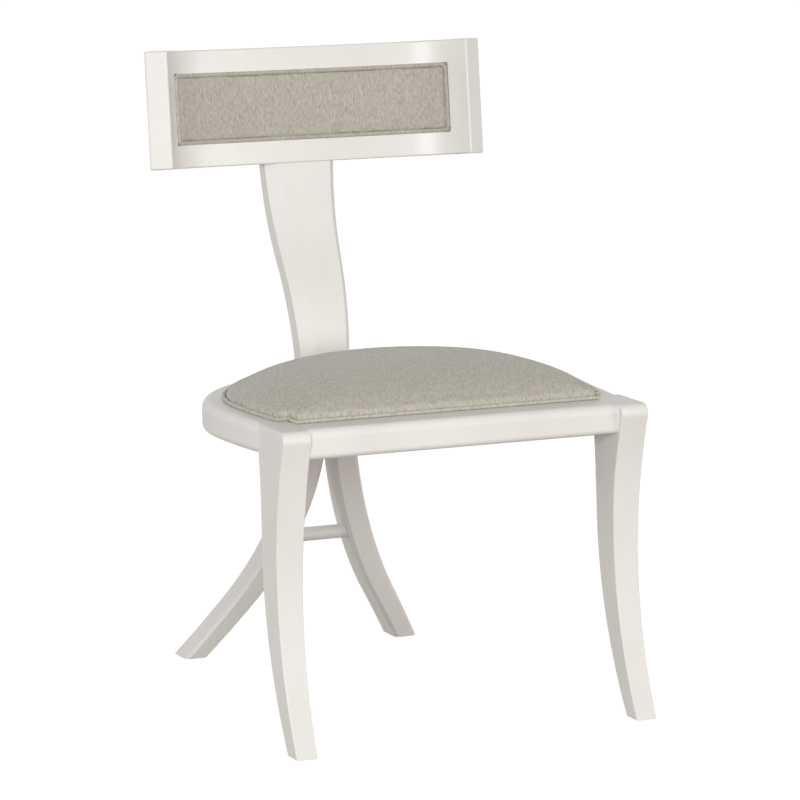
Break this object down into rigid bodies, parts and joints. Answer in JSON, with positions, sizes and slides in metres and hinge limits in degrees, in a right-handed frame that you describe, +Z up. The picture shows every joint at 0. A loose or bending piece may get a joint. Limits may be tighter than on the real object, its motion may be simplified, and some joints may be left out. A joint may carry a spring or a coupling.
{
  "type": "side chair",
  "caption": "Klismos side chair with sabre legs, a horseshoe seat, a padded cushion and a curved crest rail with a back pad.",
  "frame": {"origin": "centre of the bounding box in plan, on the floor", "axes": "+Z up, the chair faces -Y, +X to the right of a viewer who looks along +Y"},
  "size_m": [0.556, 0.6328, 0.8847],
  "materials": {
    "paint": "satin off-white paint on beech",
    "beech": "bare planed wood",
    "plywood": "sanded plywood",
    "foam": "open-cell upholstery foam",
    "fabric": "woven grey-green upholstery fabric",
    "steel": "zinc plated"
  },
  "bodies": {
    "root": {"front_leg_left": "paint", "front_leg_right": "paint", "front_rail": "paint", "seat_rail_left": "paint", "seat_rail_right": "paint", "seat_rail_back": "paint", "rear_leg_left": "paint", "rear_leg_right": "paint", "rear_stretcher": "paint", "back_splat": "paint", "crest_rail": "paint", "corner_block_left": "beech", "corner_block_right": "beech", "rail_dowels": "beech", "seat_board": "plywood", "crest_pad_board": "plywood", "seat_foam": "foam", "crest_pad_foam": "foam", "seat_cover": "fabric", "seat_welt": "fabric", "crest_pad_cover": "fabric", "crest_pad_welt": "fabric", "glide_front_left": "steel", "glide_front_right": "steel", "glide_rear_left": "steel", "glide_rear_right": "steel", "corner_block_screws": "steel", "seat_screws": "steel", "frame_bolts": "steel", "crest_pad_screws": "steel"}
  },
  "joints": []
}
